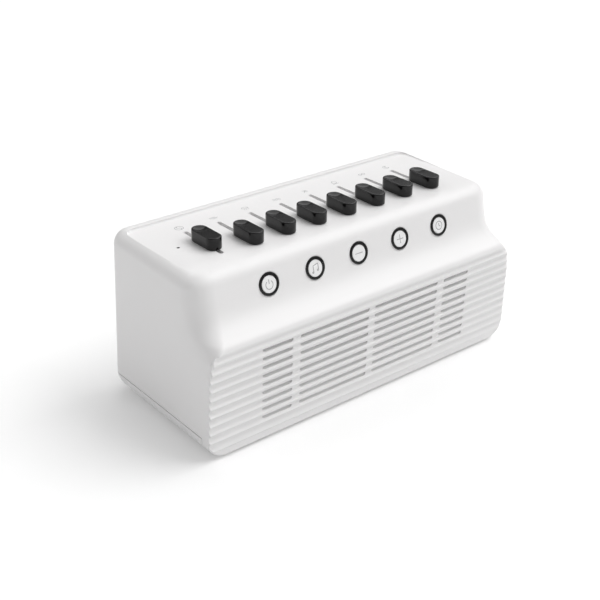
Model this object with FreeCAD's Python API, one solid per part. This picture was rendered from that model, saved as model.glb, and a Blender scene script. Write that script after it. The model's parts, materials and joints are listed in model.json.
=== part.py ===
# White noise sound machine: a table-top loudspeaker with eight slide faders and five push buttons.
# Millimetres. X runs along the length, the grille faces -Y, Z points up.
# The origin is on the table, under the middle of the body.
import FreeCAD, Part
import math
import os

from FreeCAD import Vector

os.makedirs("parts", exist_ok=True)

# Body, outside
body_width = 203.4
body_depth = 94.0
deck_height = 90.2
foot_drop = 1.6
end_draft = 2.1
wall = 2.2
deck_wall = 2.4
top_radius = 7.6
bottom_radius = 10.0
back_corner_radius = 9.5
front_edge_radius = 1.2

# Front profile: setbacks from the nose and drops below the deck
shoulder_setback = 16.8
waist_setback = 11.6
waist_drop = 23.4
waist_radius = 20.0
nose_drop = 30.1
nose_radius = 4.0
grille_lean = 2.4

# The shoulder: its front corners sweep round wide above the nose and fade to a tight edge below
sweep_length = 13.0
sweep_setback = 26.0
sweep_fade_low = 45.2
sweep_fade_high = 33.2

# Sunk deck: the top rises slowly to the back and the deck is cut level into it
rim_height = 1.9
rim_start_setback = 27.5
recess_end_margin = 7.4
recess_back_gap = 12.4
recess_corner_radius = 5.0
recess_cove = 1.4

# Louvre grille
slot_rows = 9
groove_rows = 11
groove_pitch = 4.71
groove_depth = 0.9
groove_floor = 1.6
crest_step = 0.03
grille_centre_drop = 57.1
ledge_offset = 0.9
slot_height = 1.5
slot_shift = -1.0
slot_spans = ((2.0, 46.1), (50.7, 68.9))
cloth_thickness = 0.4

# Push buttons
button_count = 5
button_pitch = 28.15
button_drop = 13.0
button_tilt = 15.0
ring_seat = 0.1
button_travel = 0.8
ring_diameter = 12.1
ring_bore = 9.1
ring_proud = 0.6
ring_skirt = 2.6
cap_gap = 0.25
ring_skirt_diameter = 10.9
cap_proud = 0.4
cap_flange = 0.8
cap_stem_diameter = 4.0
switch_size = 6.0
switch_height = 3.4
switch_plunger_diameter = 3.0
switch_plunger_height = 1.6

# Slide faders
fader_count = 8
fader_pitch = 19.75
fader_travel = 20.0
fader_centre_setback = 49.1
fader_slot_length = 32.5
fader_slot_width = 2.4
fader_end_gap = 0.5
knob_length = 19.6
knob_width = 8.2
knob_height = 6.5
knob_lift = 0.3
knob_edge = 0.3
knob_dish_length = 15.0
knob_dish_depth = 1.0
knob_rest_offset = 7.0
fin_thickness = 1.8
fin_depth = 2.2
lever_thickness = 0.9
lever_length = 4.0
fader_body_length = 35.0
fader_body_width = 9.0
fader_body_height = 7.0
fader_body_wall = 0.8

# Small details
fit_gap = 0.15
run_gap = 0.3
seam_height = 10.2
seam_gap = 0.5
cover_front_setback = 8.6
lip_thickness = 1.2
lip_height = 3.0
lip_setback = 22.0
board_thickness = 1.6
lens_diameter = 1.5
lens_end_margin = 19.7

# Screws, bosses and feet
screw_diameter = 2.6
screw_head_diameter = 5.0
screw_head_height = 1.6
small_screw_diameter = 2.0
small_head_diameter = 3.8
small_head_height = 1.2
boss_diameter = 5.2
pillar_diameter = 7.0
pillar_end_margin = 15.2
pillar_setbacks = (39.0, 65.0)
web_end_margin = 2.8
pillar_top = 48.0
pillar_bottom = 13.8
foot_diameter = 14.0
foot_recess = 0.8
foot_end_margin = 18.2
foot_setbacks = (21.8, 81.8)

# Loudspeakers
speaker_x = 35.0
speaker_flange = 51.0
speaker_hole_pitch = 45.0
speaker_flange_thickness = 1.2
speaker_bore = 41.0
speaker_basket_depth = 12.0
speaker_back_diameter = 30.0
magnet_diameter = 32.0
magnet_height = 8.0
gasket_thickness = 1.5

# Main board and inlet
main_board_length = 116.0
main_board_depth = 46.0
main_board_rise = 9.0
main_board_back_gap = 3.0
inlet_width = 9.0
inlet_height = 3.2
inlet_length = 7.4

# Worked-out places
front = -body_depth / 2
back = body_depth / 2
bottom = foot_drop
nose_z = deck_height - nose_drop
waist_z = deck_height - waist_drop
draft_rate = math.tan(math.radians(end_draft))
lean_rate = math.tan(math.radians(grille_lean))
seam_z = bottom + seam_height
pillar_x = body_width / 2 - pillar_end_margin
web_reach = body_width / 2 - web_end_margin
foot_x = body_width / 2 - foot_end_margin
recess_half_width = body_width / 2 - recess_end_margin
base_top = bottom + wall


def box(x0, x1, y0, y1, z0, z1):
    return Part.makeBox(x1 - x0, y1 - y0, z1 - z0, Vector(x0, y0, z0))


def rod(x, y, z0, z1, diameter):
    return Part.makeCylinder(diameter / 2, z1 - z0, Vector(x, y, z0))


def export(name, shape):
    shape.exportStep("parts/" + name + ".step")


def frame_on_face(y, z, lean):
    """A frame whose X runs along the body, whose Y runs up a face and whose Z points out of it."""
    angle = math.radians(lean)
    along = Vector(1, 0, 0)
    up = Vector(0, math.sin(angle), math.cos(angle))
    return FreeCAD.Placement(Vector(0, y, z), FreeCAD.Rotation(along, up, along.cross(up), "XYZ"))


def placed(shape, frame):
    moved = shape.copy()
    moved.Placement = frame.multiply(moved.Placement)
    return moved


def profile_corners(inset):
    """The four corners of the front outline, moved inwards by the wall."""
    points = [
        Vector(0, front + shoulder_setback, deck_height),
        Vector(0, front + waist_setback, waist_z),
        Vector(0, front, nose_z),
        Vector(0, front + (nose_z - bottom) * lean_rate, bottom),
    ]
    lines = []
    for start, end in zip(points, points[1:]):
        heading = (end - start).normalize()
        inward = Vector(0, -heading.z, heading.y)
        lines.append((start + inward * inset, heading))
    return lines


def crossing(first, second):
    """Where two lines in the Y-Z plane meet."""
    (p, d), (q, e) = first, second
    span = q - p
    step = (span.y * e.z - span.z * e.y) / (d.y * e.z - d.z * e.y)
    return p + d * step


def front_setting(inset):
    """The front outline as a function of height: face, hollow waist, flare, nose and grille plane."""
    face, flare, grille = profile_corners(inset)
    waist, nose = crossing(face, flare), crossing(flare, grille)
    waist_r, nose_r = waist_radius + inset, max(nose_radius - inset, 0.6)
    waist_turn = face[1].getAngle(flare[1]) / 2
    nose_turn = flare[1].getAngle(grille[1]) / 2
    waist_run, nose_run = waist_r * math.tan(waist_turn), nose_r * math.tan(nose_turn)
    waist_start, waist_end = waist - face[1] * waist_run, waist + flare[1] * waist_run
    nose_start, nose_end = nose - flare[1] * nose_run, nose + grille[1] * nose_run
    waist_centre = waist_start + Vector(0, face[1].z, -face[1].y) * waist_r
    nose_centre = nose_start + Vector(0, -flare[1].z, flare[1].y) * nose_r

    def y_at(z):
        if z >= waist_start.z:
            return waist_start.y + (z - waist_start.z) * face[1].y / face[1].z
        if z >= waist_end.z:
            return waist_centre.y + math.sqrt(waist_r ** 2 - (z - waist_centre.z) ** 2)
        if z >= nose_start.z:
            return waist_end.y + (z - waist_end.z) * flare[1].y / flare[1].z
        if z >= nose_end.z:
            return nose_centre.y - math.sqrt(nose_r ** 2 - (z - nose_centre.z) ** 2)
        return nose_end.y + (z - nose_end.z) * grille[1].y / grille[1].z

    return y_at, waist_start.z, waist_end.z, nose_start.z, nose_end.z


def plan_wire(z, y_front, inset, sweep):
    """A plan section: straight sides, round back corners and elliptical or sharp front corners."""
    half = body_width / 2 - inset - (z - bottom) * draft_rate
    rear = back - inset - (z - bottom) * draft_rate
    radius = max(back_corner_radius - inset, 0.5)
    sweep_x, sweep_y = sweep
    edges = []

    def side(x0, y0, x1, y1):
        edges.append(Part.makeLine(Vector(x0, y0, z), Vector(x1, y1, z)))

    def corner(cx, cy, r, start):
        first, middle, last = [Vector(cx + r * math.cos(a), cy + r * math.sin(a), z)
                               for a in (start, start + math.pi / 4, start + math.pi / 2)]
        edges.append(Part.Arc(first, middle, last).toShape())

    def front_corner(points):
        curve = Part.BezierCurve()
        curve.setPoles([Vector(x, y, z) for x, y in points])
        curve.setWeight(2, math.sqrt(0.5))
        edges.append(curve.toShape())

    side(-half + sweep_x, y_front, half - sweep_x, y_front)
    if sweep_x:
        front_corner([(half - sweep_x, y_front), (half, y_front), (half, y_front + sweep_y)])
    side(half, y_front + sweep_y, half, rear - radius)
    corner(half - radius, rear - radius, radius, 0)
    side(half - radius, rear, -half + radius, rear)
    corner(-half + radius, rear - radius, radius, math.pi / 2)
    side(-half, rear - radius, -half, y_front + sweep_y)
    if sweep_x:
        front_corner([(-half, y_front + sweep_y), (-half, y_front), (-half + sweep_x, y_front)])
    return Part.Wire(edges)


def edges_at(shape, test):
    return [edge for edge in shape.Edges if all(test(edge.valueAt(p)) for p in (
        edge.FirstParameter, (edge.FirstParameter + edge.LastParameter) / 2, edge.LastParameter))]


def skirt(inset, floor, ceiling):
    """The lower body below the nose, with round bottom edges and sharp front corners."""
    y_at = front_setting(inset)[0]
    block = Part.makeLoft([plan_wire(z, y_at(z), inset, (0, 0)) for z in (floor, ceiling)], True, True)
    edges = edges_at(block, lambda p: abs(p.z - floor) < 0.01)
    edges = [edge for edge in edges if edge.CenterOfMass.y > y_at(floor) + 0.5]
    return block.makeFillet(bottom_radius - inset, edges)


def ramp(start, end, z):
    """A share that grows smoothly from 0 at the start height to 1 at the end height."""
    share = min(max((z - start) / (end - start), 0), 1)
    return share * share * (3 - 2 * share)


def body(inset, floor, ceiling, rise):
    """The whole body as a closed form, inset by a wall, from its floor to its ceiling.

    The lower part is ruled between two plan sections. The upper part is ruled through close
    plan sections whose front follows the outline and whose front corners widen upwards. The
    ceiling height counts at the start of the rim, and the top rises from there to the back.
    """
    y_at, waist_top, waist_low, nose_top, nose_low = front_setting(inset)
    split = deck_height - sweep_fade_low
    full = deck_height - sweep_fade_high
    small = max(front_edge_radius - inset, 0)
    lower = skirt(inset, floor, split)
    ledge = 0.1
    if small:
        upright = edges_at(lower, lambda p: p.y < y_at(p.z) + 0.05 and abs(p.x) > body_width / 4)
        lower = lower.makeFillet(small, upright)
    else:
        small = 0.3

    def sweep(z):
        tight = small + ledge
        reach = front + sweep_setback - y_at(z)
        return (tight + (sweep_length - inset - tight) * ramp(nose_low - 6, waist_low + 6, z),
                tight + (reach - tight) * ramp(split, full, z))

    fade_steps, nose_steps, waist_steps = 8, 7, 11
    levels = [split + (nose_low - split) * i / fade_steps for i in range(fade_steps)]
    levels += [nose_low + (nose_top - nose_low) * i / nose_steps for i in range(nose_steps + 1)]
    levels += [(nose_top + waist_low) / 2]
    levels += [waist_low + (waist_top - waist_low) * i / waist_steps for i in range(waist_steps + 1)]
    high = ceiling + rise + 5
    levels += [high]
    upper = Part.makeLoft([plan_wire(z, y_at(z), inset, sweep(z)) for z in levels], True, True)
    ramp_start = front + rim_start_setback
    slope = rise / (back - ramp_start)

    def top_at(y):
        return ceiling + (y - ramp_start) * slope

    ends = (2 * front, 2 * back)
    above = [Vector(-body_width, y, top_at(y)) for y in ends] + [Vector(-body_width, y, high + 5)
                                                                 for y in reversed(ends)]
    sky = Part.Face(Part.makePolygon(above + above[:1])).extrude(Vector(2 * body_width, 0, 0))
    upper = upper.cut(sky)
    rim = edges_at(upper, lambda p: abs(p.z - top_at(p.y)) < 0.01)
    upper = upper.makeFillet(top_radius - inset, rim)
    return lower.fuse(upper).removeSplitter()


def stadium(length, width, z0, z1):
    """A long block with round ends, running along Y."""
    half, r = (length - width) / 2, width / 2
    ends = [rod(0, y, z0, z1, width) for y in (-half, half)]
    return box(-r, r, -half, half, z0, z1).multiFuse(ends).removeSplitter()


def screw(length, diameter, head_diameter, head_height):
    """A screw whose head sits on Z = 0 and whose shank points down."""
    head = rod(0, 0, 0, head_height, head_diameter)
    head = head.makeFillet(head_height * 0.4, [edge for edge in head.Edges
                                               if edge.CenterOfMass.z > head_height - 0.01])
    slot_depth, slot_width = head_height * 0.5, head_diameter * 0.16
    for long_x, long_y in ((head_diameter * 0.3, slot_width), (slot_width, head_diameter * 0.3)):
        head = head.cut(box(-long_x, long_x, -long_y, long_y, head_height - slot_depth, head_height))
    return head.fuse(rod(0, 0, -length, 0, diameter))


def group(shapes):
    return Part.makeCompound(shapes)


# Frames on the face, on the grille and on the deck
face_y_at = front_setting(0)[0]
button_z = deck_height - button_drop
face_frame = frame_on_face(face_y_at(button_z) + ring_seat, button_z, button_tilt)
grille_z = deck_height - grille_centre_drop
grille_frame = frame_on_face(face_y_at(grille_z), grille_z, -grille_lean)
button_places = [(i - (button_count - 1) / 2) * button_pitch for i in range(button_count)]
fader_places = [(i - (fader_count - 1) / 2) * fader_pitch for i in range(fader_count)]
fader_y = front + fader_centre_setback
cover_front = front + cover_front_setback
lip_out = wall + run_gap


# Housing shell: one closed outside, the sunk deck cut into its top, and the hollow
roof = deck_height + rim_height
far_x, far_y = body_width, body_depth
outside = body(0, bottom, deck_height, rim_height)
hollow = body(wall, base_top, deck_height - deck_wall, 0)
deck_line = deck_height - crest_step
recess_y = back - recess_back_gap
recess = box(-recess_half_width, recess_half_width, front + rim_start_setback - 4, recess_y,
             deck_line, roof + 2)
recess = recess.makeFillet(recess_corner_radius, edges_at(recess, lambda p: abs(p.y - recess_y) < 0.01
                                                          and abs(abs(p.x) - recess_half_width) < 0.01))
recess = recess.makeFillet(recess_cove, edges_at(recess, lambda p: abs(p.z - deck_line) < 0.01
                                                 and p.y > front + rim_start_setback - 3.9))
outside = outside.cut(recess)

# Louvres: grooves like weatherboards, each with a sharp ledge over a sound slot
ledges = [ledge_offset + ((groove_rows - 1) / 2 - row) * groove_pitch for row in range(groove_rows)]
bow_height = groove_pitch - groove_floor
bow_depth = groove_depth - crest_step
bow_radius = (bow_depth ** 2 + bow_height ** 2) / (4 * bow_depth)
bow_turn = math.asin(bow_height / 2 / bow_radius)


def bow(v, centre_depth, bulge, turns):
    """An arc of the bowed slat, from the groove floor towards the crest."""
    points = [Vector(0, v - bow_radius * math.sin(t), centre_depth + bulge * bow_radius * math.cos(t))
              for t in turns]
    return Part.Arc(*points).toShape()


edges = []
for ledge in ledges:
    lip = Vector(0, ledge, -crest_step)
    root = Vector(0, ledge, -groove_depth)
    foot = Vector(0, ledge - groove_floor, -groove_depth)
    edges += [Part.makeLine(lip, root), Part.makeLine(root, foot)]
    edges.append(bow(foot.y, bow_radius - groove_depth, -1, (0, bow_turn / 2, bow_turn)))
    end = ledge - groove_pitch
    edges.append(bow(end, -bow_radius - crest_step, 1, (-bow_turn, -bow_turn / 2, 0)))
open_front = [Vector(0, ledges[-1] - groove_pitch, -crest_step), Vector(0, ledges[-1] - groove_pitch, 3),
              Vector(0, ledges[0], 3), Vector(0, ledges[0], -crest_step)]
edges += [Part.makeLine(a, b) for a, b in zip(open_front, open_front[1:])]
grooves = Part.Face(Part.Wire(edges)).extrude(Vector(2 * far_x, 0, 0))
grooves.translate(Vector(-far_x, 0, 0))
slots = []
slot_gap = (groove_floor - slot_height) / 2
for ledge in ledges[1:slot_rows + 1]:
    v = ledge - slot_gap - slot_height / 2
    for near, far in slot_spans:
        for side in (-1, 1):
            slot = stadium(far - near, slot_height, -wall - 1, 1)
            slot.rotate(Vector(0, 0, 0), Vector(0, 0, 1), 90)
            slot.translate(Vector(side * (near + far) / 2 + slot_shift, v, 0))
            slots.append(slot)
shell = outside.cut(placed(grooves, grille_frame)).cut(hollow)
shell = shell.cut([placed(slot, grille_frame) for slot in slots])


# Openings: fader slots, button holes, light pipe and inlet
holes = []
for x in fader_places:
    slot = stadium(fader_slot_length, fader_slot_width, deck_height - deck_wall - 1, deck_height + 1)
    slot.translate(Vector(x, fader_y, 0))
    holes.append(slot)
ring_hole = ring_skirt_diameter + 2 * fit_gap
lens_y = front + 51.3
lens_x = lens_end_margin - body_width / 2
inlet_z = base_top + main_board_rise + board_thickness
holes += [placed(rod(x, 0, -wall - 2, 1, ring_hole), face_frame) for x in button_places]
holes += [placed(rod(x, 0, 0, 3, ring_diameter + 2 * fit_gap), face_frame) for x in button_places]
holes += [rod(lens_x, lens_y, deck_height - deck_wall - 1, deck_height + 1, lens_diameter + fit_gap)]
holes += [box(-inlet_width / 2 - run_gap, inlet_width / 2 + run_gap, back - 8, back + 1,
              inlet_z - run_gap, inlet_z + inlet_height + run_gap)]

# Bosses under the deck for the fader board, and on the face for the button board
bosses = []
fader_body_top = deck_height - deck_wall - 0.6
fader_board_top = fader_body_top - fader_body_height
fader_boss_places = [(x, fader_y + y) for x in (-3 * fader_pitch, 0, 3 * fader_pitch) for y in (-14, 14)]
pilot = small_screw_diameter - 0.1
for x, y in fader_boss_places:
    bosses.append(rod(x, y, fader_board_top, deck_height - deck_wall + 0.5, boss_diameter))
    holes.append(rod(x, y, fader_board_top - 1, fader_board_top + 5, pilot))
cap_flange_depth = ring_skirt
stem_length = 2.0
plunger_depth = cap_flange_depth + cap_flange + stem_length
button_board_depth = plunger_depth + switch_plunger_height + switch_height
button_boss_places = [step * button_pitch for step in (-2.5, -0.5, 0.5, 2.5)]
for x in button_boss_places:
    bosses.append(placed(rod(x, 0, -button_board_depth, -wall + 0.5, boss_diameter), face_frame))
    holes.append(placed(rod(x, 0, -button_board_depth - 1, -button_board_depth + 5, pilot), face_frame))

# Bosses behind the grille for the loudspeakers
speaker_seat = wall + cloth_thickness + gasket_thickness
pilot_depth = 0.6
half_pitch = speaker_hole_pitch / 2
speaker_holes = [(side * speaker_x + dx, dy) for side in (-1, 1)
                 for dx in (-half_pitch, half_pitch) for dy in (-half_pitch, half_pitch)]
for x, v in speaker_holes:
    bosses.append(placed(rod(x, v, -speaker_seat, -wall + 0.3, boss_diameter), grille_frame))
    holes.append(placed(rod(x, v, -speaker_seat - 1, -wall + pilot_depth, pilot), grille_frame))

# Pillars for the base screws, each with a web to the end wall
pillar_places = [(side * pillar_x, front + y) for side in (-1, 1) for y in pillar_setbacks]
for x, y in pillar_places:
    side = math.copysign(1, x)
    bosses.append(rod(x, y, pillar_bottom, pillar_top, pillar_diameter))
    bosses.append(box(min(x, side * web_reach), max(x, side * web_reach), y - 1, y + 1,
                      pillar_bottom + 3, pillar_top - 4))
    holes.append(rod(x, y, pillar_bottom - 1, pillar_bottom + 12, screw_diameter - 0.2))

# The seam: the housing keeps a toe strip under the grille, the base cover takes the rest
holes.append(box(-far_x, far_x, cover_front - seam_gap / 2, far_y, -1, seam_z + seam_gap / 2))
housing = shell.multiFuse(bosses).cut(holes)
export("housing", housing)

# Base cover: the lower shell with a lip inside the housing, towers, standoffs and foot seats
cover_zone = box(-far_x, far_x, cover_front + seam_gap / 2, far_y, -1, seam_z - seam_gap / 2)
cover = outside.cut(hollow).common(cover_zone)
lip_zone = box(-far_x, far_x, front + lip_setback, far_y, seam_z - 4, seam_z + lip_height)
lip_outer = skirt(lip_out, base_top + 0.2, seam_z + 20)
lip_inner = skirt(lip_out + lip_thickness, base_top + 0.1, seam_z + 20)
cover = cover.fuse(lip_outer.cut(lip_inner).common(lip_zone))
bridge = skirt(wall - 0.2, base_top - 0.1, seam_z + 20).cut(lip_inner)
cover = cover.fuse(bridge.common(box(-far_x, far_x, front + lip_setback, far_y, seam_z - 4, seam_z - 2)))
cover = cover.cut(box(-inlet_width, inlet_width, back - 8, back - wall - run_gap / 2, seam_z - 0.3, 40))
tongue = box(-60, 60, cover_front - 3, cover_front + 3, base_top, base_top + lip_thickness)
cover = cover.fuse(tongue)
tower_top = pillar_bottom
head_floor = bottom + 3.6
for x, y in pillar_places:
    cover = cover.fuse(rod(x, y, base_top - 0.5, tower_top, pillar_diameter + 1))
    cover = cover.cut(rod(x, y, bottom - 1, head_floor, screw_head_diameter + 0.6))
    cover = cover.cut(rod(x, y, head_floor - 1, tower_top + 1, screw_diameter + 2 * fit_gap))
main_board_z = base_top + main_board_rise
main_board_y = back - wall - main_board_back_gap - main_board_depth
standoff_places = [(x, main_board_y + y) for x in (-52, 52) for y in (5, 40)]
for x, y in standoff_places:
    cover = cover.fuse(rod(x, y, base_top - 0.5, main_board_z, boss_diameter + 0.8))
    cover = cover.cut(rod(x, y, main_board_z - 7, main_board_z + 1, screw_diameter - 0.2))
foot_places = [(side * foot_x, front + y) for side in (-1, 1) for y in foot_setbacks]
for x, y in foot_places:
    cover = cover.fuse(rod(x, y, base_top - 0.5, base_top + 1, foot_diameter + 3))
    cover = cover.cut(rod(x, y, bottom - 1, bottom + foot_recess, foot_diameter + 2 * fit_gap))
export("base_cover", cover)
print("housing", housing.isValid(), len(housing.Solids), "cover", cover.isValid(), len(cover.Solids))

feet = []
for x, y in foot_places:
    foot = rod(x, y, 0, bottom + foot_recess, foot_diameter)
    feet.append(foot.makeFillet(0.6, [edge for edge in foot.Edges if edge.CenterOfMass.z < 0.01]))
export("feet", group(feet))

base_screws = []
for x, y in pillar_places:
    part = screw(tower_top - head_floor + 9, screw_diameter - 0.3, screw_head_diameter, screw_head_height)
    part.rotate(Vector(0, 0, 0), Vector(1, 0, 0), 180)
    part.translate(Vector(x, y, head_floor))
    base_screws.append(part)
export("base_screws", group(base_screws))

# Cloth behind the grille
cloth_half, cloth_high = 72.5, 24.2
cloth = box(-cloth_half, cloth_half, -cloth_high, cloth_high, -wall - cloth_thickness, -wall)
for x, v in speaker_holes:
    cloth = cloth.cut(rod(x, v, -10, 0, boss_diameter + 2 * run_gap))
export("grille_cloth", placed(cloth, grille_frame))


# Loudspeakers
def ring_of(outline, x):
    """A turned part from its half outline, given as radius and depth behind the grille plane."""
    points = [Vector(r, 0, -d) for r, d in outline]
    wire = Part.makePolygon(points + [points[0]])
    turned = Part.Face(wire).revolve(Vector(0, 0, 0), Vector(0, 0, 1), 360)
    turned.translate(Vector(x, 0, 0))
    return turned


speaker_screws = []
for name, side in (("left", -1), ("right", 1)):
    x = side * speaker_x
    cloth_back = wall + cloth_thickness
    seat = speaker_seat
    gasket = ring_of([(speaker_bore / 2, cloth_back), (speaker_flange / 2 - 0.5, cloth_back),
                      (speaker_flange / 2 - 0.5, seat), (speaker_bore / 2, seat)], x)
    export("speaker_gasket_" + name, placed(gasket, grille_frame))

    flange_back = seat + speaker_flange_thickness
    half = speaker_flange / 2
    flange = box(x - half, x + half, -half, half, -flange_back, -seat)
    flange = flange.makeFillet(5, edges_at(flange, lambda p: abs(abs(p.x - x) - half) < 0.01
                                           and abs(abs(p.y) - half) < 0.01))
    bore, rear = speaker_bore / 2, speaker_back_diameter / 2
    basket_back = flange_back + speaker_basket_depth
    basket = ring_of([(bore, seat), (bore + 1.2, flange_back), (rear + 1, basket_back), (8, basket_back),
                      (8, basket_back - 1), (rear, basket_back - 1), (bore, flange_back)], x)
    frame = flange.cut(rod(x, 0, -20, 0, speaker_bore)).fuse(basket)
    for quarter in range(4):
        angle = math.radians(90 * quarter + 45)
        cx, cy = x + 21 * math.cos(angle), 21 * math.sin(angle)
        frame = frame.cut(rod(cx, cy, -basket_back + 2, -flange_back - 1.5, 12))
    for hole_x, hole_v in speaker_holes:
        frame = frame.cut(rod(hole_x, hole_v, -20, 0, small_screw_diameter + 2 * fit_gap))
    export("speaker_frame_" + name, placed(frame.removeSplitter(), grille_frame))

    lip = flange_back - 0.4
    cone = ring_of([(bore - 0.2, lip - 0.6), (bore - 0.2, lip), (bore - 1.5, lip + 0.5),
                    (6.4, basket_back - 3.2), (6.4, basket_back - 1.2), (5.8, basket_back - 1.2),
                    (5.8, basket_back - 3.8), (5.2, basket_back - 4.6), (3, basket_back - 5.4),
                    (0, basket_back - 5.8), (0, basket_back - 6.4), (3.2, basket_back - 6.0),
                    (5.6, basket_back - 5.2), (6.4, basket_back - 4.4), (bore - 2.6, lip - 0.2),
                    (bore - 1.8, lip - 0.9)], x)
    export("speaker_cone_" + name, placed(cone, grille_frame))

    magnet = rod(x, 0, -basket_back - magnet_height, -basket_back, magnet_diameter)
    magnet = magnet.makeFillet(0.8, [edge for edge in magnet.Edges if len(edge.Vertexes) == 1])
    export("speaker_magnet_" + name, placed(magnet, grille_frame))
    for hole_x, hole_v in speaker_holes:
        if hole_x * side > 0:
            part = screw(speaker_seat - wall + speaker_flange_thickness + 0.4, pilot - 0.1,
                         small_head_diameter, small_head_height)
            part.rotate(Vector(0, 0, 0), Vector(1, 0, 0), 180)
            part.translate(Vector(hole_x, hole_v, -flange_back))
            speaker_screws.append(placed(part, grille_frame))
export("speaker_screws", group(speaker_screws))

# Fader board and its screws
board_half = 3 * fader_pitch + fader_pitch + 6
board_y0, board_y1 = fader_y - 19, fader_y + 19
fader_board = box(-board_half, board_half, board_y0, board_y1, fader_board_top - board_thickness,
                  fader_board_top)
fader_board_screws = []
for x, y in fader_boss_places:
    fader_board = fader_board.cut(rod(x, y, 0, 200, small_screw_diameter + 2 * fit_gap))
    part = screw(5, pilot - 0.1, small_head_diameter, small_head_height)
    part.rotate(Vector(0, 0, 0), Vector(1, 0, 0), 180)
    part.translate(Vector(x, y, fader_board_top - board_thickness))
    fader_board_screws.append(part)
export("fader_board", fader_board)
export("fader_board_screws", group(fader_board_screws))

# Faders: body with a slotted lid, lever with its wiper block, knob with a guide fin
fader_bodies = []
fin_length = fader_slot_length - fader_travel - 2 * fader_end_gap
block_length, block_width, block_height = 6.0, 5.0, 2.6
track_z = fader_board_top + fader_body_wall
knob_bottom, knob_top = deck_height + knob_lift, deck_height + knob_height
dish_radius = (knob_dish_length ** 2 / 4 + knob_dish_depth ** 2) / (2 * knob_dish_depth)
dish_centre = knob_top - knob_dish_depth + dish_radius
for index, x in enumerate(fader_places):
    half_l, half_w = fader_body_length / 2, fader_body_width / 2
    case = box(x - half_w, x + half_w, fader_y - half_l, fader_y + half_l, fader_board_top, fader_body_top)
    inner = box(x - half_w + fader_body_wall, x + half_w - fader_body_wall, fader_y - half_l + 1.5,
                fader_y + half_l - 1.5, track_z, fader_body_top - fader_body_wall)
    mouth = stadium(fader_travel + lever_length + 3, 1.8, fader_body_top - 2, fader_body_top + 1)
    mouth.translate(Vector(x, fader_y, 0))
    fader_bodies.append(case.cut(inner).cut(mouth))

    y = fader_y - fader_travel / 2 + (knob_rest_offset if index == 0 else 0)
    block = box(x - block_width / 2, x + block_width / 2, y - block_length / 2, y + block_length / 2,
                track_z, track_z + block_height)
    lever_top = deck_height + knob_lift + 3
    half_t, half_y = lever_thickness / 2, lever_length / 2
    lever = block.fuse(box(x - half_t, x + half_t, y - half_y, y + half_y, track_z, lever_top))
    export("fader_lever_" + str(index + 1), lever)

    knob = stadium(knob_length, knob_width, knob_bottom, knob_top)
    knob = knob.makeFillet(knob_edge, [edge for edge in knob.Edges if edge.CenterOfMass.z > knob_top - 0.01])
    knob = knob.makeFillet(0.4, [edge for edge in knob.Edges if edge.CenterOfMass.z < knob_bottom + 0.01])
    fin = stadium(fin_length, fin_thickness, knob_bottom - fin_depth, knob_bottom + 0.5)
    socket = box(-half_t - 0.1, half_t + 0.1, -half_y - 0.1, half_y + 0.1, knob_bottom - 10, lever_top)
    dish = Part.makeCylinder(dish_radius, 2 * knob_width, Vector(-knob_width, 0, dish_centre), Vector(1, 0, 0))
    knob = knob.cut(dish).fuse(fin).cut(socket)
    knob.translate(Vector(x, y, 0))
    export("fader_knob_" + str(index + 1), knob)
export("fader_bodies", group(fader_bodies))

# Light pipe standing on the fader board
pipe = rod(lens_x, lens_y, fader_board_top, deck_height - 0.1, lens_diameter)
pipe = pipe.fuse(rod(lens_x, lens_y, fader_board_top, fader_board_top + 1.5, 3.2))
export("indicator_light_pipe", pipe)

# Button board, switches and buttons
half_board = 2.5 * button_pitch + 5
button_board = box(-half_board, half_board, -7, 7, -button_board_depth - board_thickness, -button_board_depth)
button_screws = []
for x in button_boss_places:
    button_board = button_board.cut(rod(x, 0, -30, 0, small_screw_diameter + 2 * fit_gap))
    part = screw(5, pilot - 0.1, small_head_diameter, small_head_height)
    part.rotate(Vector(0, 0, 0), Vector(1, 0, 0), 180)
    part.translate(Vector(x, 0, -button_board_depth - board_thickness))
    button_screws.append(placed(part, face_frame))
export("button_board", placed(button_board, face_frame))
export("button_board_screws", group(button_screws))

switch_bodies = []
for index, x in enumerate(button_places):
    number = str(index + 1)
    lip = rod(x, 0, 0, ring_proud, ring_diameter)
    lip = lip.makeFillet(0.2, [edge for edge in lip.Edges if edge.CenterOfMass.z > ring_proud - 0.01])
    skirt = rod(x, 0, -ring_skirt, 0, ring_skirt_diameter)
    ring = lip.fuse(skirt).cut(rod(x, 0, -9, 9, ring_bore))
    export("button_ring_" + number, placed(ring, face_frame))

    cap_diameter = ring_bore - 2 * cap_gap
    cap = rod(x, 0, -cap_flange_depth, cap_proud, cap_diameter)
    cap = cap.makeFillet(0.25, [edge for edge in cap.Edges if edge.CenterOfMass.z > cap_proud - 0.01])
    rear = -cap_flange_depth - cap_flange
    cap = cap.fuse([rod(x, 0, rear, -cap_flange_depth, ring_skirt_diameter - 0.3),
                    rod(x, 0, -plunger_depth, rear, cap_stem_diameter)])
    export("button_cap_" + number, placed(cap, face_frame))

    plunger_end = -plunger_depth - switch_plunger_height
    plunger = rod(x, 0, plunger_end - 1, -plunger_depth, switch_plunger_diameter)
    export("switch_plunger_" + number, placed(plunger, face_frame))
    half = switch_size / 2
    case = box(x - half, x + half, -half, half, -button_board_depth, plunger_end)
    well = rod(x, 0, plunger_end - 1 - button_travel - 0.2, 0, switch_plunger_diameter + 2 * run_gap)
    switch_bodies.append(placed(case.cut(well), face_frame))
export("switch_bodies", group(switch_bodies))

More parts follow.
